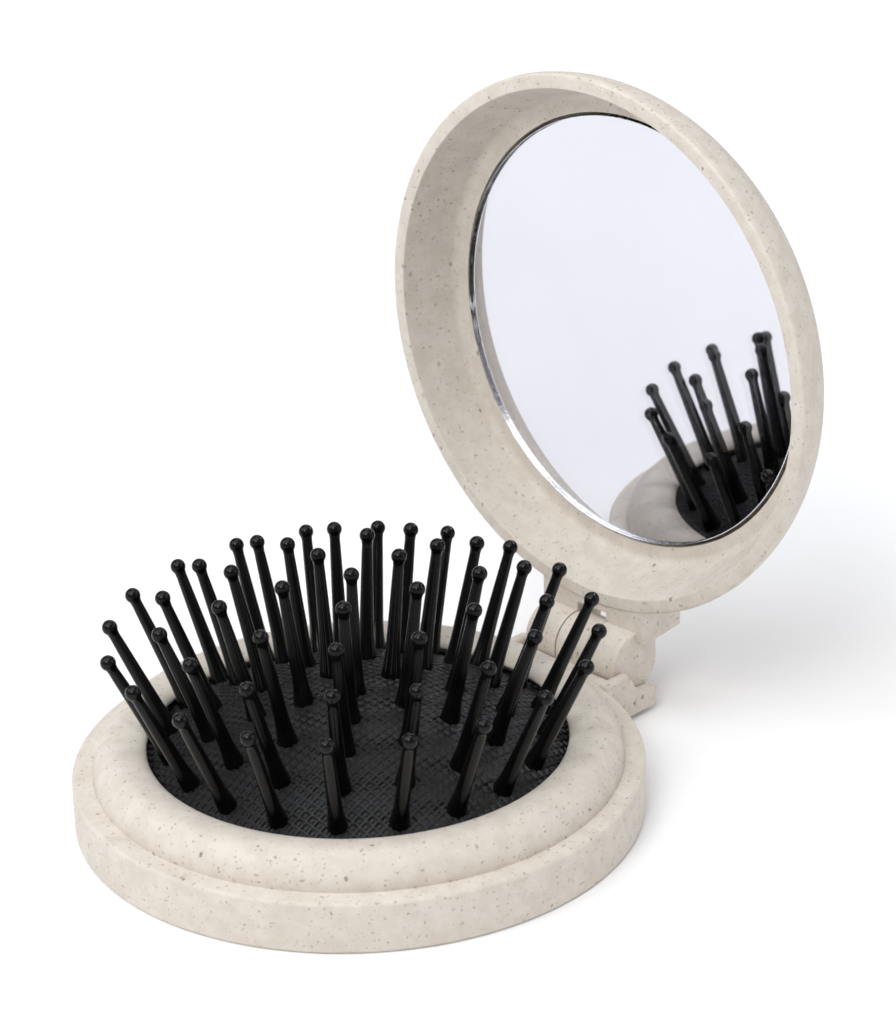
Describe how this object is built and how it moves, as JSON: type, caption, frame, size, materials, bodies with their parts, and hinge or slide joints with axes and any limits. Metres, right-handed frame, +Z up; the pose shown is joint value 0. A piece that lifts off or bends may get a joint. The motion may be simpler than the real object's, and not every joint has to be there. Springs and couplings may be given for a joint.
{
  "type": "folding pocket hairbrush",
  "caption": "Round folding pocket hairbrush with ball-tipped bristles on a domed rubber pad and a mirror in its hinged lid.",
  "frame": {"origin": "under the middle of the open brush's bounding box, on the plane the base rests on; the round base is centred 8.25 mm towards -Y from it", "axes": "+Z up out of the base, +Y from the base towards the hinge and the open lid, +X along the hinge axis to the right when seen from the front"},
  "size_m": [0.068, 0.0844, 0.0806],
  "materials": {
    "speckled_plastic": "matte cream with fine brown speckles",
    "black_rubber": "matte, moulded with a fine crossed rib pattern",
    "black_nylon": "satin",
    "mirror": "polished",
    "foam_tape": "foam",
    "steel": "plain"
  },
  "bodies": {
    "base": {"base_shell": "speckled_plastic", "bottom_cover": "speckled_plastic", "bristle_pad": "black_rubber", "hinge_pin": "steel"},
    "lid": {"lid_shell": "speckled_plastic", "mirror_glass": "mirror", "mirror_tape": "foam_tape"},
    "pin_0_01": {"pin_0_01": "black_nylon"},
    "pin_1_01": {"pin_1_01": "black_nylon"},
    "pin_1_02": {"pin_1_02": "black_nylon"},
    "pin_1_03": {"pin_1_03": "black_nylon"},
    "pin_1_04": {"pin_1_04": "black_nylon"},
    "pin_1_05": {"pin_1_05": "black_nylon"},
    "pin_2_01": {"pin_2_01": "black_nylon"},
    "pin_2_02": {"pin_2_02": "black_nylon"},
    "pin_2_03": {"pin_2_03": "black_nylon"},
    "pin_2_04": {"pin_2_04": "black_nylon"},
    "pin_2_05": {"pin_2_05": "black_nylon"},
    "pin_2_06": {"pin_2_06": "black_nylon"},
    "pin_2_07": {"pin_2_07": "black_nylon"},
    "pin_2_08": {"pin_2_08": "black_nylon"},
    "pin_2_09": {"pin_2_09": "black_nylon"},
    "pin_2_10": {"pin_2_10": "black_nylon"},
    "pin_3_01": {"pin_3_01": "black_nylon"},
    "pin_3_02": {"pin_3_02": "black_nylon"},
    "pin_3_03": {"pin_3_03": "black_nylon"},
    "pin_3_04": {"pin_3_04": "black_nylon"},
    "pin_3_05": {"pin_3_05": "black_nylon"},
    "pin_3_06": {"pin_3_06": "black_nylon"},
    "pin_3_07": {"pin_3_07": "black_nylon"},
    "pin_3_08": {"pin_3_08": "black_nylon"},
    "pin_3_09": {"pin_3_09": "black_nylon"},
    "pin_3_10": {"pin_3_10": "black_nylon"},
    "pin_3_11": {"pin_3_11": "black_nylon"},
    "pin_3_12": {"pin_3_12": "black_nylon"},
    "pin_3_13": {"pin_3_13": "black_nylon"},
    "pin_3_14": {"pin_3_14": "black_nylon"},
    "pin_3_15": {"pin_3_15": "black_nylon"},
    "pin_4_01": {"pin_4_01": "black_nylon"},
    "pin_4_02": {"pin_4_02": "black_nylon"},
    "pin_4_03": {"pin_4_03": "black_nylon"},
    "pin_4_04": {"pin_4_04": "black_nylon"},
    "pin_4_05": {"pin_4_05": "black_nylon"},
    "pin_4_06": {"pin_4_06": "black_nylon"},
    "pin_4_07": {"pin_4_07": "black_nylon"},
    "pin_4_08": {"pin_4_08": "black_nylon"},
    "pin_4_09": {"pin_4_09": "black_nylon"},
    "pin_4_10": {"pin_4_10": "black_nylon"},
    "pin_4_11": {"pin_4_11": "black_nylon"},
    "pin_4_12": {"pin_4_12": "black_nylon"},
    "pin_4_13": {"pin_4_13": "black_nylon"},
    "pin_4_14": {"pin_4_14": "black_nylon"},
    "pin_4_15": {"pin_4_15": "black_nylon"},
    "pin_4_16": {"pin_4_16": "black_nylon"},
    "pin_4_17": {"pin_4_17": "black_nylon"},
    "pin_4_18": {"pin_4_18": "black_nylon"},
    "pin_4_19": {"pin_4_19": "black_nylon"},
    "pin_4_20": {"pin_4_20": "black_nylon"}
  },
  "joints": [
    {"name": "lid_hinge", "type": "hinge", "parent": "base", "child": "lid", "pos_m": [0, 0.03175, 0.0066], "axis": [1, 0, 0], "range_deg": [0, 90], "deforming": ["bristle_pad"]},
    {"name": "fold_pin_0_01", "type": "slide", "parent": "base", "child": "pin_0_01", "axis": [0, 0, -1], "range_m": [0, 0.01766]},
    {"name": "fold_pin_1_01", "type": "hinge", "parent": "base", "child": "pin_1_01", "pos_m": [-0.00429, 0.04082, 0.00634], "axis": [0.9962, 0.0872, 0], "range_deg": [0, 23.02]},
    {"name": "fold_pin_1_02", "type": "hinge", "parent": "base", "child": "pin_1_02", "pos_m": [-0.04799, 0.00283, 0.00634], "axis": [0.225, 0.9744, 0], "range_deg": [0, 23.02]},
    {"name": "fold_pin_1_03", "type": "hinge", "parent": "base", "child": "pin_1_03", "pos_m": [-0.02537, -0.05047, 0.00634], "axis": [-0.8572, 0.515, 0], "range_deg": [0, 23.02]},
    {"name": "fold_pin_1_04", "type": "hinge", "parent": "base", "child": "pin_1_04", "pos_m": [0.03231, -0.04542, 0.00634], "axis": [-0.7547, -0.6561, 0], "range_deg": [0, 23.02]},
    {"name": "fold_pin_1_05", "type": "hinge", "parent": "base", "child": "pin_1_05", "pos_m": [0.04534, 0.01099, 0.00634], "axis": [0.3907, -0.9205, 0], "range_deg": [0, 23.02]},
    {"name": "fold_pin_2_01", "type": "hinge", "parent": "base", "child": "pin_2_01", "pos_m": [-0.00269, 0.02249, 0.00617], "axis": [0.9962, 0.0872, 0], "range_deg": [0, 44.93]},
    {"name": "fold_pin_2_02", "type": "hinge", "parent": "base", "child": "pin_2_02", "pos_m": [-0.02024, 0.01504, 0.00617], "axis": [0.7547, 0.6561, 0], "range_deg": [0, 44.93]},
    {"name": "fold_pin_2_03", "type": "hinge", "parent": "base", "child": "pin_2_03", "pos_m": [-0.03007, -0.00131, 0.00617], "axis": [0.225, 0.9744, 0], "range_deg": [0, 44.93]},
    {"name": "fold_pin_2_04", "type": "hinge", "parent": "base", "child": "pin_2_04", "pos_m": [-0.0284, -0.02031, 0.00617], "axis": [-0.3907, 0.9205, 0], "range_deg": [0, 44.93]},
    {"name": "fold_pin_2_05", "type": "hinge", "parent": "base", "child": "pin_2_05", "pos_m": [-0.01589, -0.0347, 0.00617], "axis": [-0.8572, 0.515, 0], "range_deg": [0, 44.93]},
    {"name": "fold_pin_2_06", "type": "hinge", "parent": "base", "child": "pin_2_06", "pos_m": [0.00269, -0.03899, 0.00617], "axis": [-0.9962, -0.0872, 0], "range_deg": [0, 44.93]},
    {"name": "fold_pin_2_07", "type": "hinge", "parent": "base", "child": "pin_2_07", "pos_m": [0.02024, -0.03154, 0.00617], "axis": [-0.7547, -0.6561, 0], "range_deg": [0, 44.93]},
    {"name": "fold_pin_2_08", "type": "hinge", "parent": "base", "child": "pin_2_08", "pos_m": [0.03007, -0.01519, 0.00617], "axis": [-0.225, -0.9744, 0], "range_deg": [0, 44.93]},
    {"name": "fold_pin_2_09", "type": "hinge", "parent": "base", "child": "pin_2_09", "pos_m": [0.0284, 0.00381, 0.00617], "axis": [0.3907, -0.9205, 0], "range_deg": [0, 44.93]},
    {"name": "fold_pin_2_10", "type": "hinge", "parent": "base", "child": "pin_2_10", "pos_m": [0.01589, 0.0182, 0.00617], "axis": [0.8572, -0.515, 0], "range_deg": [0, 44.93]},
    {"name": "fold_pin_3_01", "type": "hinge", "parent": "base", "child": "pin_3_01", "pos_m": [-0.00213, 0.01614, 0.00729], "axis": [0.9962, 0.0872, 0], "range_deg": [0, 70.29]},
    {"name": "fold_pin_3_02", "type": "hinge", "parent": "base", "child": "pin_3_02", "pos_m": [-0.01187, 0.01316, 0.00729], "axis": [0.8746, 0.4848, 0], "range_deg": [0, 70.29]},
    {"name": "fold_pin_3_03", "type": "hinge", "parent": "base", "child": "pin_3_03", "pos_m": [-0.01955, 0.00648, 0.00729], "axis": [0.6018, 0.7986, 0], "range_deg": [0, 70.29]},
    {"name": "fold_pin_3_04", "type": "hinge", "parent": "base", "child": "pin_3_04", "pos_m": [-0.02385, -0.00274, 0.00729], "axis": [0.225, 0.9744, 0], "range_deg": [0, 70.29]},
    {"name": "fold_pin_3_05", "type": "hinge", "parent": "base", "child": "pin_3_05", "pos_m": [-0.02403, -0.01292, 0.00729], "axis": [-0.1908, 0.9816, 0], "range_deg": [0, 70.29]},
    {"name": "fold_pin_3_06", "type": "hinge", "parent": "base", "child": "pin_3_06", "pos_m": [-0.02005, -0.02229, 0.00729], "axis": [-0.5736, 0.8192, 0], "range_deg": [0, 70.29]},
    {"name": "fold_pin_3_07", "type": "hinge", "parent": "base", "child": "pin_3_07", "pos_m": [-0.01261, -0.02924, 0.00729], "axis": [-0.8572, 0.515, 0], "range_deg": [0, 70.29]},
    {"name": "fold_pin_3_08", "type": "hinge", "parent": "base", "child": "pin_3_08", "pos_m": [-0.00298, -0.03255, 0.00729], "axis": [-0.9925, 0.1219, 0], "range_deg": [0, 70.29]},
    {"name": "fold_pin_3_09", "type": "hinge", "parent": "base", "child": "pin_3_09", "pos_m": [0.00716, -0.03166, 0.00729], "axis": [-0.9563, -0.2924, 0], "range_deg": [0, 70.29]},
    {"name": "fold_pin_3_10", "type": "hinge", "parent": "base", "child": "pin_3_10", "pos_m": [0.01606, -0.02673, 0.00729], "axis": [-0.7547, -0.6561, 0], "range_deg": [0, 70.29]},
    {"name": "fold_pin_3_11", "type": "hinge", "parent": "base", "child": "pin_3_11", "pos_m": [0.02219, -0.0186, 0.00729], "axis": [-0.4226, -0.9063, 0], "range_deg": [0, 70.29]},
    {"name": "fold_pin_3_12", "type": "hinge", "parent": "base", "child": "pin_3_12", "pos_m": [0.02448, -0.00868, 0.00729], "axis": [-0.0175, -0.9998, 0], "range_deg": [0, 70.29]},
    {"name": "fold_pin_3_13", "type": "hinge", "parent": "base", "child": "pin_3_13", "pos_m": [0.02254, 0.00132, 0.00729], "axis": [0.3907, -0.9205, 0], "range_deg": [0, 70.29]},
    {"name": "fold_pin_3_14", "type": "hinge", "parent": "base", "child": "pin_3_14", "pos_m": [0.0167, 0.00966, 0.00729], "axis": [0.7314, -0.682, 0], "range_deg": [0, 70.29]},
    {"name": "fold_pin_3_15", "type": "hinge", "parent": "base", "child": "pin_3_15", "pos_m": [0.00797, 0.0149, 0.00729], "axis": [0.9455, -0.3256, 0], "range_deg": [0, 70.29]},
    {"name": "fold_pin_4_01", "type": "hinge", "parent": "base", "child": "pin_4_01", "pos_m": [-0.00204, 0.01508, 0.00878], "axis": [0.9962, 0.0872, 0], "range_deg": [0, 95.82]},
    {"name": "fold_pin_4_02", "type": "hinge", "parent": "base", "child": "pin_4_02", "pos_m": [-0.00915, 0.01331, 0.00878], "axis": [0.9205, 0.3907, 0], "range_deg": [0, 95.82]},
    {"name": "fold_pin_4_03", "type": "hinge", "parent": "base", "child": "pin_4_03", "pos_m": [-0.01537, 0.00943, 0.00878], "axis": [0.7547, 0.6561, 0], "range_deg": [0, 95.82]},
    {"name": "fold_pin_4_04", "type": "hinge", "parent": "base", "child": "pin_4_04", "pos_m": [-0.02008, 0.00381, 0.00878], "axis": [0.515, 0.8572, 0], "range_deg": [0, 95.82]},
    {"name": "fold_pin_4_05", "type": "hinge", "parent": "base", "child": "pin_4_05", "pos_m": [-0.02282, -0.00298, 0.00878], "axis": [0.225, 0.9744, 0], "range_deg": [0, 95.82]},
    {"name": "fold_pin_4_06", "type": "hinge", "parent": "base", "child": "pin_4_06", "pos_m": [-0.02333, -0.01029, 0.00878], "axis": [-0.0872, 0.9962, 0], "range_deg": [0, 95.82]},
    {"name": "fold_pin_4_07", "type": "hinge", "parent": "base", "child": "pin_4_07", "pos_m": [-0.02156, -0.0174, 0.00878], "axis": [-0.3907, 0.9205, 0], "range_deg": [0, 95.82]},
    {"name": "fold_pin_4_08", "type": "hinge", "parent": "base", "child": "pin_4_08", "pos_m": [-0.01768, -0.02362, 0.00878], "axis": [-0.6561, 0.7547, 0], "range_deg": [0, 95.82]},
    {"name": "fold_pin_4_09", "type": "hinge", "parent": "base", "child": "pin_4_09", "pos_m": [-0.01206, -0.02833, 0.00878], "axis": [-0.8572, 0.515, 0], "range_deg": [0, 95.82]},
    {"name": "fold_pin_4_10", "type": "hinge", "parent": "base", "child": "pin_4_10", "pos_m": [-0.00527, -0.03107, 0.00878], "axis": [-0.9744, 0.225, 0], "range_deg": [0, 95.82]},
    {"name": "fold_pin_4_11", "type": "hinge", "parent": "base", "child": "pin_4_11", "pos_m": [0.00204, -0.03158, 0.00878], "axis": [-0.9962, -0.0872, 0], "range_deg": [0, 95.82]},
    {"name": "fold_pin_4_12", "type": "hinge", "parent": "base", "child": "pin_4_12", "pos_m": [0.00915, -0.02981, 0.00878], "axis": [-0.9205, -0.3907, 0], "range_deg": [0, 95.82]},
    {"name": "fold_pin_4_13", "type": "hinge", "parent": "base", "child": "pin_4_13", "pos_m": [0.01537, -0.02593, 0.00878], "axis": [-0.7547, -0.6561, 0], "range_deg": [0, 95.82]},
    {"name": "fold_pin_4_14", "type": "hinge", "parent": "base", "child": "pin_4_14", "pos_m": [0.02008, -0.02031, 0.00878], "axis": [-0.515, -0.8572, 0], "range_deg": [0, 95.82]},
    {"name": "fold_pin_4_15", "type": "hinge", "parent": "base", "child": "pin_4_15", "pos_m": [0.02282, -0.01352, 0.00878], "axis": [-0.225, -0.9744, 0], "range_deg": [0, 95.82]},
    {"name": "fold_pin_4_16", "type": "hinge", "parent": "base", "child": "pin_4_16", "pos_m": [0.02333, -0.00621, 0.00878], "axis": [0.0872, -0.9962, 0], "range_deg": [0, 95.82]},
    {"name": "fold_pin_4_17", "type": "hinge", "parent": "base", "child": "pin_4_17", "pos_m": [0.02156, 0.0009, 0.00878], "axis": [0.3907, -0.9205, 0], "range_deg": [0, 95.82]},
    {"name": "fold_pin_4_18", "type": "hinge", "parent": "base", "child": "pin_4_18", "pos_m": [0.01768, 0.00712, 0.00878], "axis": [0.6561, -0.7547, 0], "range_deg": [0, 95.82]},
    {"name": "fold_pin_4_19", "type": "hinge", "parent": "base", "child": "pin_4_19", "pos_m": [0.01206, 0.01183, 0.00878], "axis": [0.8572, -0.515, 0], "range_deg": [0, 95.82]},
    {"name": "fold_pin_4_20", "type": "hinge", "parent": "base", "child": "pin_4_20", "pos_m": [0.00527, 0.01457, 0.00878], "axis": [0.9744, -0.225, 0], "range_deg": [0, 95.82]}
  ],
  "couplings": [
    {"joint": "fold_pin_0_01", "follows": "lid_hinge", "m_per_rad": 0.011236},
    {"joint": "fold_pin_1_01", "follows": "lid_hinge", "ratio": 0.25556},
    {"joint": "fold_pin_1_02", "follows": "lid_hinge", "ratio": 0.25556},
    {"joint": "fold_pin_1_03", "follows": "lid_hinge", "ratio": 0.25556},
    {"joint": "fold_pin_1_04", "follows": "lid_hinge", "ratio": 0.25556},
    {"joint": "fold_pin_1_05", "follows": "lid_hinge", "ratio": 0.25556},
    {"joint": "fold_pin_2_01", "follows": "lid_hinge", "ratio": 0.499},
    {"joint": "fold_pin_2_02", "follows": "lid_hinge", "ratio": 0.499},
    {"joint": "fold_pin_2_03", "follows": "lid_hinge", "ratio": 0.499},
    {"joint": "fold_pin_2_04", "follows": "lid_hinge", "ratio": 0.499},
    {"joint": "fold_pin_2_05", "follows": "lid_hinge", "ratio": 0.499},
    {"joint": "fold_pin_2_06", "follows": "lid_hinge", "ratio": 0.499},
    {"joint": "fold_pin_2_07", "follows": "lid_hinge", "ratio": 0.499},
    {"joint": "fold_pin_2_08", "follows": "lid_hinge", "ratio": 0.499},
    {"joint": "fold_pin_2_09", "follows": "lid_hinge", "ratio": 0.499},
    {"joint": "fold_pin_2_10", "follows": "lid_hinge", "ratio": 0.499},
    {"joint": "fold_pin_3_01", "follows": "lid_hinge", "ratio": 0.78073},
    {"joint": "fold_pin_3_02", "follows": "lid_hinge", "ratio": 0.78073},
    {"joint": "fold_pin_3_03", "follows": "lid_hinge", "ratio": 0.78073},
    {"joint": "fold_pin_3_04", "follows": "lid_hinge", "ratio": 0.78073},
    {"joint": "fold_pin_3_05", "follows": "lid_hinge", "ratio": 0.78073},
    {"joint": "fold_pin_3_06", "follows": "lid_hinge", "ratio": 0.78073},
    {"joint": "fold_pin_3_07", "follows": "lid_hinge", "ratio": 0.78073},
    {"joint": "fold_pin_3_08", "follows": "lid_hinge", "ratio": 0.78073},
    {"joint": "fold_pin_3_09", "follows": "lid_hinge", "ratio": 0.78073},
    {"joint": "fold_pin_3_10", "follows": "lid_hinge", "ratio": 0.78073},
    {"joint": "fold_pin_3_11", "follows": "lid_hinge", "ratio": 0.78073},
    {"joint": "fold_pin_3_12", "follows": "lid_hinge", "ratio": 0.78073},
    {"joint": "fold_pin_3_13", "follows": "lid_hinge", "ratio": 0.78073},
    {"joint": "fold_pin_3_14", "follows": "lid_hinge", "ratio": 0.78073},
    {"joint": "fold_pin_3_15", "follows": "lid_hinge", "ratio": 0.78073},
    {"joint": "fold_pin_4_01", "follows": "lid_hinge", "ratio": 1.0644},
    {"joint": "fold_pin_4_02", "follows": "lid_hinge", "ratio": 1.0644},
    {"joint": "fold_pin_4_03", "follows": "lid_hinge", "ratio": 1.0644},
    {"joint": "fold_pin_4_04", "follows": "lid_hinge", "ratio": 1.0644},
    {"joint": "fold_pin_4_05", "follows": "lid_hinge", "ratio": 1.0644},
    {"joint": "fold_pin_4_06", "follows": "lid_hinge", "ratio": 1.0644},
    {"joint": "fold_pin_4_07", "follows": "lid_hinge", "ratio": 1.0644},
    {"joint": "fold_pin_4_08", "follows": "lid_hinge", "ratio": 1.0644},
    {"joint": "fold_pin_4_09", "follows": "lid_hinge", "ratio": 1.0644},
    {"joint": "fold_pin_4_10", "follows": "lid_hinge", "ratio": 1.0644},
    {"joint": "fold_pin_4_11", "follows": "lid_hinge", "ratio": 1.0644},
    {"joint": "fold_pin_4_12", "follows": "lid_hinge", "ratio": 1.0644},
    {"joint": "fold_pin_4_13", "follows": "lid_hinge", "ratio": 1.0644},
    {"joint": "fold_pin_4_14", "follows": "lid_hinge", "ratio": 1.0644},
    {"joint": "fold_pin_4_15", "follows": "lid_hinge", "ratio": 1.0644},
    {"joint": "fold_pin_4_16", "follows": "lid_hinge", "ratio": 1.0644},
    {"joint": "fold_pin_4_17", "follows": "lid_hinge", "ratio": 1.0644},
    {"joint": "fold_pin_4_18", "follows": "lid_hinge", "ratio": 1.0644},
    {"joint": "fold_pin_4_19", "follows": "lid_hinge", "ratio": 1.0644},
    {"joint": "fold_pin_4_20", "follows": "lid_hinge", "ratio": 1.0644}
  ]
}
